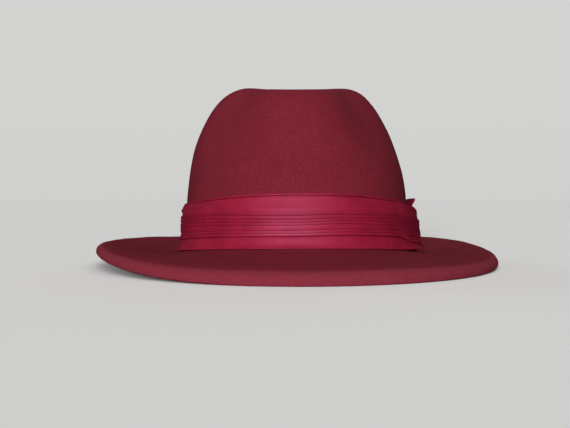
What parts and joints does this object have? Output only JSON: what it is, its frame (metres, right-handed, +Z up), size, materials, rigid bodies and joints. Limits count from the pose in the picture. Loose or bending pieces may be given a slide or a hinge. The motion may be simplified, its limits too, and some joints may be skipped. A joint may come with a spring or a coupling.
{
  "type": "pinch-front felt fedora",
  "caption": "Lady's wool-felt fedora with a lengthwise crown dent, front pinches, a snapped-down brim and a wide pleated ribbon band.",
  "frame": {"origin": "middle of the hat's bounding box, on the floor that it rests on", "axes": "+X towards the wearer's left, -Y towards the front of the brim, +Z up"},
  "size_m": [0.277, 0.3146, 0.1228],
  "materials": {
    "wool_felt": "soft matt wool felt with a short nap, burgundy",
    "base_ribbon": "ribbed ribbon, low sheen, crimson",
    "band_ribbon": "finely ribbed satin-faced ribbon, soft sheen, crimson",
    "tail_ribbon": "the band's ribbon, cut on a slant"
  },
  "bodies": {
    "root": {"felt_body": "wool_felt", "base_ribbon": "base_ribbon", "hat_band": "band_ribbon", "ribbon_tail": "tail_ribbon"}
  },
  "joints": []
}
